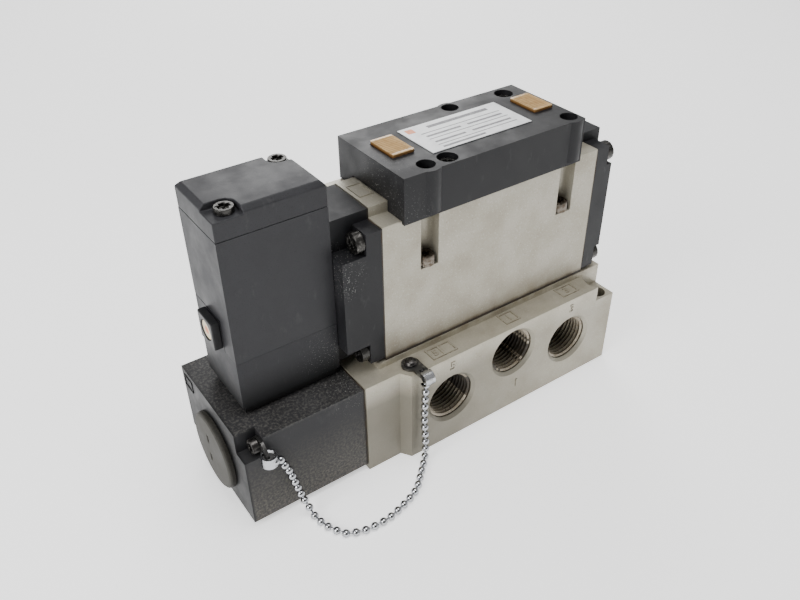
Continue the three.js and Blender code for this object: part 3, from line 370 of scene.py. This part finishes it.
# Painted shade: a near-black material for the thread roots and the small bore behind them.
thread_root_shade = surface("thread_root_shade", (0.030, 0.023, 0.014), 0.45, 0.2)
root_shade_mottle = cloud(thread_root_shade, 0.0014, 3)
tint(thread_root_shade, (0.075, 0.055, 0.032), between(thread_root_shade, root_shade_mottle, 0.48, 0.70, 0, 0.7))
thread_shape = bmesh.new()
pitch, first_turn, crest, root = 1.337, 1.2, 7.5, 8.24
turns = 9
for x, z, mouth, inwards in (
    (29.9, 17.06, 0, 1), (55.1, 23.24, 0, 1), (80.3, 17.06, 0, 1),
    (42.5, 17.06, 45.9, -1), (67.7, 17.06, 45.9, -1),
):
    section = []
    for turn_number in range(turns):
        deep = first_turn + turn_number * pitch
        section += [
            (root - 0.06, deep), (root - 0.06, deep + 0.35), (crest, deep + 0.75), (crest, deep + 0.95)]
    section += [(root - 0.06, 13.5), (root - 0.06, 14.5), (4.7, 14.5), (4.7, 20), (4.9, 20), (4.9, 14.85)]
    section += [(root, 14.85), (root, first_turn)]
    rim = [thread_shape.verts.new(mm(x + r, mouth + inwards * deep, z)) for r, deep in section]
    loop = [thread_shape.edges.new((a, b)) for a, b in zip(rim, rim[1:] + rim[:1])]
    bmesh.ops.spin(
        thread_shape, geom=rim + loop, cent=mm(x, mouth, z), axis=(0, 1, 0), angle=2 * math.pi,
        steps=48, use_merge=True)
    axis_x, axis_z = mm(x, mouth, z).x, z / 1000
    # Faces in the thread roots and deeper in the bore take the painted shade.
    for face in thread_shape.faces:
        middle = face.calc_center_median()
        reach = math.hypot(middle.x - axis_x, middle.z - axis_z) * 1000
        if reach < root + 0.1:
            face.material_index = 0 if crest - 0.1 < reach < root - 0.15 else 1
threads = put("port_threads", thread_shape, cut_metal, smooth=20)
threads.data.materials.append(thread_root_shade)

# Cast marks.
# Small raised frames and plain numbers cast with the plate and painted with it, with painted shade
# along their edges as a thin dark sheet: on the front strip, and on the front face beside each port.
# Painted shade: the dark sheet under each mark is a little wider than it and stands for the shade along its
# edges.
mark_edge_shade = surface("mark_edge_shade", (0.13, 0.11, 0.075), 0.6)
edge_shade_mottle = cloud(mark_edge_shade, 0.0009, 3)
tint(mark_edge_shade, (0.32, 0.29, 0.22), between(mark_edge_shade, edge_shade_mottle, 0.46, 0.62, 0, 0.8))


def raised_frame(shape, corner, length, depth, width, height, facing=None):
    """A thin rectangular rim from one corner on, lying flat unless it is turned to a face."""
    flat = bmesh.ops.create_grid(shape, x_segments=1, y_segments=1, size=0.5)
    bmesh.ops.scale(shape, vec=(length, depth, 1), verts=flat["verts"])
    bmesh.ops.translate(shape, vec=(length / 2, depth / 2, 0), verts=flat["verts"])
    face = flat["verts"][0].link_faces[0]
    rim = bmesh.ops.inset_individual(shape, faces=[face], thickness=width, use_even_offset=True)["faces"]
    bmesh.ops.delete(shape, geom=[face], context="FACES_ONLY")
    made = {vert for part in rim for vert in part.verts}
    lifted = bmesh.ops.extrude_face_region(shape, geom=rim, use_keep_orig=True)["geom"]
    raised = [v for v in lifted if isinstance(v, bmesh.types.BMVert)]
    bmesh.ops.translate(shape, vec=(0, 0, height), verts=raised)
    turned = Matrix.Translation(corner) @ (facing or Matrix.Identity(4))
    bmesh.ops.transform(shape, matrix=turned, verts=list(made | set(raised)))


def raised_number(text, place, size, facing, height, spread=0.0):
    letters = bpy.data.curves.new("number", "FONT")
    letters.body = text
    letters.size = size
    letters.extrude = height
    letters.offset = spread
    letters.align_x = letters.align_y = "CENTER"
    holder = bpy.data.objects.new("number", letters)
    bpy.context.scene.collection.objects.link(holder)
    mesh = bpy.data.meshes.new_from_object(holder)
    bpy.data.objects.remove(holder)
    mesh.transform(Matrix.Translation(place) @ facing)
    return mesh


marks_shape, edge_shade_shape = bmesh.new(), bmesh.new()
strip, rim_width, edge_shade_margin = 34.0, 0.0003, 0.00022
for low, high in (
    ((24.0, 2.2), (28.5, 7.0)), ((28.5, 2.2), (33.0, 7.0)),
    ((53.5, 2.6), (59.0, 7.6)), ((78.6, 2.8), (85.5, 7.5)),
):
    corner, span = mm(*low, strip), mm(*high, strip) - mm(*low, strip)
    raised_frame(marks_shape, corner, span.x, span.y, rim_width, 0.0003)
    out = Vector((edge_shade_margin, edge_shade_margin, 0))
    # The painted-shade sheet under the frame.
    raised_frame(
        edge_shade_shape, corner - out, span.x + 2 * edge_shade_margin, span.y + 2 * edge_shade_margin,
        rim_width + 2 * edge_shade_margin, 0.00006)
upright = Matrix.Rotation(math.pi / 2, 4, "X")
level = Matrix.Identity(4)
for text, x, y, z, size, facing in (
    ("5", 29.7, 0.0, 30.2, 0.0044, upright),
    ("1", 57.3, 0.0, 9.0, 0.0044, upright),
    ("3", 80.3, 0.0, 30.2, 0.0044, upright),
    ("5", 26.3, 4.5, strip, 0.0036, level),
    ("1", 56.2, 5.0, strip, 0.0036, level),
    ("3", 82.0, 5.1, strip, 0.0036, level),
):
    marks_shape.from_mesh(raised_number(text, mm(x, y, z), size, facing, 0.00025))
    # The painted-shade sheet under the number.
    edge_shade_shape.from_mesh(raised_number(text, mm(x, y, z), size, facing, 0.00005, 0.00014))
put("cast_marks", marks_shape, plate_paint)
put("mark_edges", edge_shade_shape, mark_edge_shade)

# Plate gasket.
# A sheet of black rubber between the sub-plate and the body, stained brown with old oil where its
# edge shows.
gasket_rubber = surface("gasket_rubber", (0.016, 0.011, 0.007), 0.5)
oil = cloud(gasket_rubber, 0.004, 4)
tint(gasket_rubber, (0.060, 0.038, 0.020), between(gasket_rubber, oil, 0.45, 0.70, 0, 0.8))
dull(gasket_rubber, oil, 0.35, 0.65, 0.35, 0.75)
texture(gasket_rubber, oil, 0.2, 0.0001)


def finish_node(node, material):
    """Gives a CAD solid that keeps its own shape its real material."""
    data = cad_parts[node].data
    for index in range(max(1, len(data.materials))):
        if index < len(data.materials):
            data.materials[index] = material
        else:
            data.materials.append(material)


for node in ("plate_gasket", "adapter_gasket", "end_gasket", "junction_gasket"):
    finish_node(node, gasket_rubber)

# Valve body.
# The same casting and paint as the sub-plate, with brown streaks where oil has crept up from the
# gasket, and slots milled in its long sides for the bolts.
body_paint = cast_paint("body_paint", (0.40, 0.375, 0.31))
creep = cloud(body_paint, 0.006, 4, 0.6, (1, 1, 0.5))
low_down = between(body_paint, height_above(body_paint), 0.0368, 0.0450, 1, 0)
tint(body_paint, (0.19, 0.14, 0.085), combine(
    body_paint, "MULTIPLY", low_down, between(body_paint, creep, 0.40, 0.64, 0.06, 0.42)))
at_gasket = between(body_paint, height_above(body_paint), 0.0368, 0.0382, 1, 0)
tint(body_paint, (0.045, 0.030, 0.015), combine(
    body_paint, "MULTIPLY", at_gasket, between(body_paint, creep, 0.30, 0.62, 0.30, 0.95)))
softened("valve_body", 0.00045, body_paint)
crown_shape = bmesh.new()
raised_frame(crown_shape, mm(11.9, 21.0, 85.2), 0.0045, 0.0074, rim_width, 0.0003)
put("crown_frame", crown_shape, body_paint)

# Body bolts.
# Three M3 socket-head cap screws of plain steel, with knurled heads and a hexagon socket. They
# stand in the body's slots and clamp it to the sub-plate.
bolt_steel = surface("bolt_steel", (0.17, 0.150, 0.125), 0.38, 0.95)
bolt_wear = cloud(bolt_steel, 0.0012, 3)
tint(bolt_steel, (0.10, 0.07, 0.045), between(bolt_steel, bolt_wear, 0.46, 0.68, 0, 0.8))
dull(bolt_steel, bolt_wear, 0.4, 0.65, 0.22, 0.5)
for number in (1, 2, 3):
    low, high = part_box(f"body_bolt_{number}")
    centre = Vector(((low[0] + high[0]) / 2, (low[1] + high[1]) / 2, high[2]))
    head = bmesh.new()
    ridges, radius, tall = 30, (high[0] - low[0]) / 2, 0.0033
    around = bmesh.ops.create_circle(head, segments=ridges * 2, radius=radius, cap_ends=False)["verts"]
    for index, vert in enumerate(around):
        if index % 2:
            vert.co *= 0.955
    bmesh.ops.translate(head, vec=centre - Vector((0, 0, tall)), verts=around)
    outline = list(head.edges)
    rising = bmesh.ops.extrude_edge_only(head, edges=outline)["geom"]
    bmesh.ops.translate(
        head, vec=(0, 0, tall - 0.00035), verts=[v for v in rising if isinstance(v, bmesh.types.BMVert)])
    for inwards, lift in ((0.90, 0.00035), (0.62, 0.0), (0.60, -0.0003)):
        outline = [e for e in rising if isinstance(e, bmesh.types.BMEdge)]
        rising = bmesh.ops.extrude_edge_only(head, edges=outline)["geom"]
        verts = [v for v in rising if isinstance(v, bmesh.types.BMVert)]
        for vert in verts:
            flat = (vert.co - centre).to_2d()
            flat = flat.normalized() * radius * inwards
            vert.co = Vector((centre.x + flat.x, centre.y + flat.y, vert.co.z + lift))
    for lift, six in ((0.0, 0.50), (-0.0016, 0.50)):
        outline = [e for e in rising if isinstance(e, bmesh.types.BMEdge)]
        rising = bmesh.ops.extrude_edge_only(head, edges=outline)["geom"]
        verts = [v for v in rising if isinstance(v, bmesh.types.BMVert)]
        for vert in verts:
            flat = (vert.co - centre).to_2d()
            angle = math.atan2(flat.y, flat.x)
            sector = (angle % (math.pi / 3)) - math.pi / 6
            flat = flat.normalized() * radius * six * math.cos(math.pi / 6) / math.cos(sector)
            vert.co = Vector((centre.x + flat.x, centre.y + flat.y, vert.co.z + lift))
    bmesh.ops.contextual_create(head, geom=[e for e in rising if isinstance(e, bmesh.types.BMEdge)])
    rim = [e for e in head.edges if e.is_boundary]
    bmesh.ops.contextual_create(head, geom=rim)
    bmesh.ops.create_cone(
        head, cap_ends=True, segments=24, radius1=0.0015, radius2=0.0015, depth=high[2] - tall - low[2],
        matrix=Matrix.Translation((centre.x, centre.y, (high[2] - tall + low[2]) / 2)))
    bolt = put(f"socket_bolt_{number}", head, bolt_steel, smooth=35)
    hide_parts(f"body_bolt_{number}")

# Adapter plate and end plate.
# Black resin mouldings that close the body's two ends. Their satin skin has gathered
# white dust and light scuffs.


def black_resin(name, colour, film=0.5, rough=0.44):
    """Moulded resin with a fine satin grain, a thin uneven film of dirt and a few rubbed patches."""
    resin = surface(name, colour, rough)
    resin.node_tree.nodes["Principled BSDF"].inputs["Specular IOR Level"].default_value = 0.24
    patches = cloud(resin, 0.010, 4, 0.6)
    grain = cloud(resin, 0.00035, 2, 0.7)
    rubs = cloud(resin, 0.0028, 4, 0.65, (1, 1, 0.4))
    tint(resin, tuple(1.6 * c + 0.005 for c in colour), between(resin, patches, 0.40, 0.70, 0, film))
    tint(resin, tuple(0.5 * c for c in colour), between(resin, grain, 0.42, 0.30, 0, 0.6))
    tint(resin, (0.10, 0.10, 0.098), between(resin, rubs, 0.60, 0.74, 0, 0.35 * film))
    dull(resin, patches, 0.35, 0.65, rough - 0.06, rough + 0.12)
    texture(resin, grain, 0.25, 0.00004)
    return resin


def white_specks(resin, place, inside, outside, amount):
    """Specks of white dust on the resin, thick round one place and thinning out with distance."""
    specks = cloud(resin, 0.00042, 2, 0.75)
    close_by = near(resin, place, inside, outside)
    tint(resin, (0.55, 0.55, 0.52), combine(
        resin, "MULTIPLY", close_by, between(resin, specks, 0.64, 0.69, 0, amount)))


plate_resin = black_resin("plate_resin", (0.011, 0.011, 0.0125), 0.5)
white_specks(plate_resin, mm(-2.5, 13.0, 70), 0.003, 0.010, 0.8)
softened("adapter_plate", 0.0003, plate_resin)
softened("end_plate", 0.0003, plate_resin)

# Pan-head screws.
# Dark zinc-plated screws with a cross recess and softened rims. The plating is worn bright in
# patches.
screw_zinc = surface("screw_zinc", (0.050, 0.048, 0.045), 0.40, 0.9)
plating = cloud(screw_zinc, 0.0011, 3)
tint(screw_zinc, (0.26, 0.25, 0.235), between(screw_zinc, plating, 0.58, 0.68, 0, 0.45))
dull(screw_zinc, plating, 0.4, 0.65, 0.24, 0.45)
texture(screw_zinc, plating, 0.2, 0.00004)
pan_screws = [f"{place}_screw_{number}" for place in ("adapter", "end_plate") for number in (1, 2, 3, 4)]
pan_screws += ["cap_screw_1", "cap_screw_2", "cover_screw_1", "cover_screw_2"]
for node in pan_screws:
    softened(node, 0.00035, screw_zinc)

# Pilot valve.
# A grey resin base, a black coil housing on it, and a chamfered black cap with a corner
# notch over each long screw. The base's left wall stands up behind the override.
base_resin = black_resin("base_resin", (0.021, 0.021, 0.0235), 0.5, 0.46)
white_specks(base_resin, mm(-4.0, 13.5, 41), 0.002, 0.014, 1.0)
# Painted shade: the base darkens to near black towards its foot, where it stands over the junction cover.
painted_foot_shade = between(base_resin, height_above(base_resin), 0.0358, 0.0480, 0.92, 0)
tint(base_resin, (0.004, 0.004, 0.004), painted_foot_shade)
coil_resin = black_resin("coil_resin", (0.023, 0.023, 0.0255), 0.5, 0.44)
softened("pilot_base", 0.00035, base_resin)
softened("pilot_body", 0.00035, coil_resin)
softened("pilot_cap", 0.0003, coil_resin)

# Manual override.
# A square black boss clipped into the pilot base, and the round cream button in it, orange in the
# middle. A push with a small screwdriver lifts the plunger, and a spring returns the button.
boss_resin = black_resin("boss_resin", (0.016, 0.016, 0.017), 0.5, 0.38)
softened("override_housing", 0.0004, boss_resin)
button_resin = surface("button_resin", (0.66, 0.56, 0.38), 0.34)
button_dirt = cloud(button_resin, 0.0012, 3)
tint(button_resin, (0.36, 0.27, 0.16), between(button_resin, button_dirt, 0.48, 0.68, 0, 0.6))
button_low, button_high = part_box("override_button")
button_middle = (button_low[0], (button_low[1] + button_high[1]) / 2, (button_low[2] + button_high[2]) / 2)
tint(button_resin, (0.62, 0.14, 0.025), near(button_resin, button_middle, 0.0011, 0.0014))
texture(button_resin, button_dirt, 0.15, 0.00005)
softened("override_button", 0.0003, button_resin, body="override")

# Indicator cover.
# A black resin cover with rounded edges over the lamps. Two recessed screws hold it, and three
# open holes let a key reach the body bolts.
cover_resin = black_resin("cover_resin", (0.010, 0.010, 0.0112), 0.4, 0.42)
white_specks(cover_resin, mm(16.9, 17.0, 84), 0.004, 0.015, 0.5)
softened("top_cover", 0.0006, cover_resin, segments=4)

# Lamp lenses.
# Clear amber lenses with fine ribs along them and a smooth rim, pushed up through the cover's roof,
# each over a lamp on the board.
lens_amber = surface("lens_amber", (0.66, 0.44, 0.20), 0.20)
lens_haze = cloud(lens_amber, 0.0025, 3)
tint(lens_amber, (0.42, 0.24, 0.09), between(lens_amber, lens_haze, 0.42, 0.70, 0, 0.6))
lens_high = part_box("lamp_lens_left")[1]
# Painted shade: the rib grooves are darkened, and the lens's sides darken to deep brown towards the cover's
# roof.
tint(lens_amber, (0.26, 0.13, 0.045), between(
    lens_amber, height_above(lens_amber), lens_high[2] - 0.00018, lens_high[2] - 0.00036, 0, 0.9))
tint(lens_amber, (0.10, 0.045, 0.012), between(
    lens_amber, height_above(lens_amber), lens_high[2] - 0.0005, lens_high[2] - 0.0011))
lens_amber.node_tree.nodes["Principled BSDF"].inputs["Transmission Weight"].default_value = 0.15
lens_amber.node_tree.nodes["Principled BSDF"].inputs["IOR"].default_value = 1.49
for side in ("left", "right"):
    low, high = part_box(f"lamp_lens_{side}")
    x0, x1, y0, y1 = low[0] + 0.0006, high[0] - 0.0006, low[1] + 0.0006, high[1] - 0.0006
    ribs, columns = 10, 8
    rows = ribs * 2 + 4
    lens_shape = bmesh.new()
    flat = bmesh.ops.create_grid(lens_shape, x_segments=columns, y_segments=rows, size=0.5)["verts"]
    bmesh.ops.scale(lens_shape, vec=(x1 - x0, y1 - y0, 1), verts=flat)
    bmesh.ops.translate(lens_shape, vec=((x0 + x1) / 2, (y0 + y1) / 2, high[2]), verts=flat)
    for vert in flat:
        row = round((vert.co.y - y0) / (y1 - y0) * rows)
        column = round((vert.co.x - x0) / (x1 - x0) * columns)
        if row in (0, rows) or column in (0, columns):
            vert.co.z -= 0.0001
        elif 1 < row < rows - 1 and 1 <= column < columns and row % 2:
            vert.co.z -= 0.00038
    outline = [e for e in lens_shape.edges if e.is_boundary]
    sides = bmesh.ops.extrude_edge_only(lens_shape, edges=outline)["geom"]
    for vert in (v for v in sides if isinstance(v, bmesh.types.BMVert)):
        vert.co.z = low[2] + 0.0005
    uprights = [
        e for e in lens_shape.edges
        if abs(e.verts[0].co.z - e.verts[1].co.z) > 0.0005
        and all(min(abs(v.co.x - x0), abs(v.co.x - x1)) < 1e-6 for v in e.verts)
        and all(min(abs(v.co.y - y0), abs(v.co.y - y1)) < 1e-6 for v in e.verts)]
    bmesh.ops.bevel(
        lens_shape, geom=uprights, offset=0.0007, offset_type="OFFSET", affect="EDGES", segments=3,
        profile=0.5, material=-1)
    bmesh.ops.contextual_create(lens_shape, geom=[e for e in lens_shape.edges if e.is_boundary])
    rim = bmesh.ops.create_cube(lens_shape, size=1)["verts"]
    bmesh.ops.scale(lens_shape, vec=(high[0] - low[0], high[1] - low[1], 0.0009), verts=rim)
    bmesh.ops.translate(
        lens_shape, vec=((low[0] + high[0]) / 2, (low[1] + high[1]) / 2, low[2] + 0.00045), verts=rim)
    lens = put(f"ribbed_lens_{side}", lens_shape, lens_amber, smooth=20)
    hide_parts(f"lamp_lens_{side}")

# Name label.
# White printed film stuck on the cover, with plain ruled lines in place of its print and one small
# orange square in its corner.
label_film = surface("label_film", (0.74, 0.75, 0.76), 0.30)
label_wear = cloud(label_film, 0.004, 4)
tint(label_film, (0.52, 0.53, 0.53), between(label_film, label_wear, 0.45, 0.70, 0, 0.6))
finish_node("name_label", label_film)
ink = surface("label_ink", (0.10, 0.10, 0.11), 0.40)
tint(ink, (0.28, 0.28, 0.28), between(ink, cloud(ink, 0.0008, 3), 0.50, 0.68, 0, 0.7))
orange_ink = surface("orange_ink", (0.72, 0.20, 0.05), 0.40)
tint(orange_ink, (0.50, 0.14, 0.04), between(orange_ink, cloud(orange_ink, 0.0012, 3), 0.50, 0.68, 0, 0.6))
low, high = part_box("name_label")
label_length, label_width = high[0] - low[0], high[1] - low[1]


def printed(name, bars, material):
    shape = bmesh.new()
    for x, y, wide, deep in bars:
        bar = bmesh.ops.create_cube(shape, size=1)["verts"]
        bmesh.ops.scale(shape, vec=(wide * label_length, deep * label_width, 0.00004), verts=bar)
        bmesh.ops.translate(
            shape, vec=(low[0] + x * label_length, low[1] + y * label_width, high[2] + 0.00002), verts=bar)
    bmesh.ops.bevel(
        shape, geom=list(shape.edges), offset=0.00001, affect="EDGES", segments=1, profile=0.5, material=-1)
    put(name, shape, material)


printed("label_lines", [
    (0.55, 0.84, 0.62, 0.085), (0.52, 0.66, 0.80, 0.02), (0.30, 0.54, 0.34, 0.05), (0.72, 0.54, 0.36, 0.05),
    (0.52, 0.43, 0.80, 0.02), (0.28, 0.30, 0.30, 0.05), (0.70, 0.30, 0.40, 0.05), (0.52, 0.19, 0.80, 0.02),
    (0.34, 0.09, 0.42, 0.05)], ink)
printed("label_square", [(0.075, 0.85, 0.07, 0.15)], orange_ink)

# Junction cover.
# A deep black resin box over the cable terminals, screwed to the sub-plate's end through its two
# notched corners. Brown dirt has settled on its top and low on its front.
junction_resin = black_resin("junction_resin", (0.016, 0.016, 0.0175), 0.5, 0.46)
settled = cloud(junction_resin, 0.0008, 3, 0.7)
on_top = between(junction_resin, height_above(junction_resin), 0.0325, 0.0334, 0, 1)
tint(junction_resin, (0.105, 0.100, 0.092), combine(
    junction_resin, "MULTIPLY", on_top, between(junction_resin, settled, 0.46, 0.66, 0.05, 0.70)))
low_part = combine(
    junction_resin, "MULTIPLY", between(junction_resin, height_above(junction_resin), 0.0280, 0.0060, 0, 1),
    between(junction_resin, height_above(junction_resin, "X"), -0.0686, -0.0680, 0, 1))
tint(junction_resin, (0.130, 0.118, 0.096), combine(
    junction_resin, "MULTIPLY", low_part, between(junction_resin, settled, 0.42, 0.66, 0.12, 0.80)))
# Painted shade: the cover's left end is darkened to near black.
tint(junction_resin, (0.004, 0.004, 0.004), between(
    junction_resin, height_above(junction_resin, "X"), -0.0686, -0.0680, 0.75, 0))
white_specks(junction_resin, mm(-4.0, 12.0, 34.0), 0.002, 0.014, 0.6)
softened("junction_cover", 0.0007, junction_resin, segments=4)
end_frame = bmesh.new()
towards_pilot_end = Matrix.Rotation(-math.pi / 2, 4, "Y")
raised_frame(end_frame, mm(-39.4, 38.0, 27.4), 0.0042, 0.0056, rim_width, 0.00025, towards_pilot_end)
put("end_frame", end_frame, junction_resin)

# Entry plug.
# A grey-green resin blanking plug with a dark edge and two slots for a key. It snaps into the
# conduit entry in the junction cover's end.
plug_resin = black_resin("plug_resin", (0.044, 0.042, 0.036), 0.7, 0.6)
plug_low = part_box("entry_plug")[0]
plug_edge = between(plug_resin, height_above(plug_resin, "X"), plug_low[0] + 0.0003, plug_low[0] + 0.0005)
plug_mottle = cloud(plug_resin, 0.0007, 3)
tint(plug_resin, (0.020, 0.018, 0.014), combine(
    plug_resin, "MULTIPLY", plug_edge, between(plug_resin, plug_mottle, 0.34, 0.60, 1, 0.72)))
softened("entry_plug", 0.0003, plug_resin)

# Chain lugs, clasps and black screws.
# Black oxide screws hold a pressed steel lug at each end of the chain. A bent nickel band passes
# through each lug, and the chain's end bead is held inside the band.
black_oxide = surface("black_oxide", (0.050, 0.047, 0.045), 0.36, 0.9)
oxide_wear = cloud(black_oxide, 0.0013, 3)
tint(black_oxide, (0.20, 0.19, 0.175), between(black_oxide, oxide_wear, 0.54, 0.68, 0, 0.7))
dull(black_oxide, oxide_wear, 0.4, 0.65, 0.26, 0.48)
for node in ("junction_screw_1", "junction_screw_2", "chain_screw"):
    softened(node, 0.0003, black_oxide)
lug_steel = surface("lug_steel", (0.085, 0.084, 0.082), 0.38, 0.9)
lug_wear = cloud(lug_steel, 0.0016, 3)
tint(lug_steel, (0.24, 0.235, 0.225), between(lug_steel, lug_wear, 0.52, 0.68, 0, 0.6))
for node in ("chain_lug_plate", "chain_lug_cover"):
    softened(node, 0.00015, lug_steel)
clasp_nickel = surface("clasp_nickel", (0.50, 0.51, 0.53), 0.15, 1.0)
clasp_nickel.node_tree.nodes["Principled BSDF"].inputs["Specular Tint"].default_value = (0.2, 0.2, 0.21, 1)
clasp_wear = cloud(clasp_nickel, 0.0015, 3)
tint(clasp_nickel, (0.34, 0.33, 0.31), between(clasp_nickel, clasp_wear, 0.50, 0.70, 0, 0.6))
dull(clasp_nickel, clasp_wear, 0.4, 0.65, 0.08, 0.28)
for node in ("chain_clasp_plate", "chain_clasp_cover"):
    softened(node, 0.0001, clasp_nickel, segments=2)
for name, end, start in (
    ("held_bead_plate", chain_route[0], mm(17.6, -3.7, 32.9)),
    ("held_bead_cover", chain_route[-1], mm(-31.9, -0.2, 26.9)),
):
    held = bmesh.new()
    add_bead(held, start)
    add_link(held, start, end)
    put(name, held, chain_nickel, smooth=60)

# Working parts inside.
# The ground steel spool runs in a steel sleeve, pushed by the black pilot piston against the
# return spring. The plunger moves in the coil's bobbin under the fixed core.
ground_steel = surface("ground_steel", (0.55, 0.55, 0.55), 0.26, 1.0)
grinding = cloud(ground_steel, 0.0005, 3, 0.5, (0.1, 1, 1))
tint(ground_steel, (0.40, 0.40, 0.40), between(ground_steel, grinding, 0.45, 0.70, 0, 0.7))
dull(ground_steel, grinding, 0.4, 0.65, 0.18, 0.38)
spring_wire = surface("spring_wire", (0.48, 0.47, 0.45), 0.30, 1.0)
drawing = cloud(spring_wire, 0.0007, 3)
tint(spring_wire, (0.30, 0.29, 0.27), between(spring_wire, drawing, 0.45, 0.70, 0, 0.7))
dull(spring_wire, drawing, 0.4, 0.65, 0.22, 0.42)
enamelled_copper = surface("enamelled_copper", (0.50, 0.22, 0.09), 0.32, 0.7)
turns_of_wire = cloud(enamelled_copper, 0.0004, 2, 0.5, (0.1, 0.1, 1))
tint(enamelled_copper, (0.30, 0.12, 0.05), between(enamelled_copper, turns_of_wire, 0.45, 0.60, 0, 0.8))
texture(enamelled_copper, turns_of_wire, 0.4, 0.0001)
board_green = surface("board_green", (0.05, 0.16, 0.08), 0.35)
weave = cloud(board_green, 0.0008, 3)
tint(board_green, (0.09, 0.26, 0.14), between(board_green, weave, 0.45, 0.65, 0, 0.7))
inner_resin = black_resin("inner_resin", (0.045, 0.045, 0.050), 0.3, 0.5)
for node in ("spool_sleeve", "spool", "spring_retainer", "fixed_core", "plunger"):
    finish_node(node, ground_steel)
for node in ("return_spring", "plunger_spring", "override_spring"):
    finish_node(node, spring_wire)
for node in ("pilot_piston", "coil_bobbin", "terminal_block", "plug_connector"):
    finish_node(node, inner_resin)
finish_node("coil_winding", enamelled_copper)
finish_node("lamp_board", board_green)
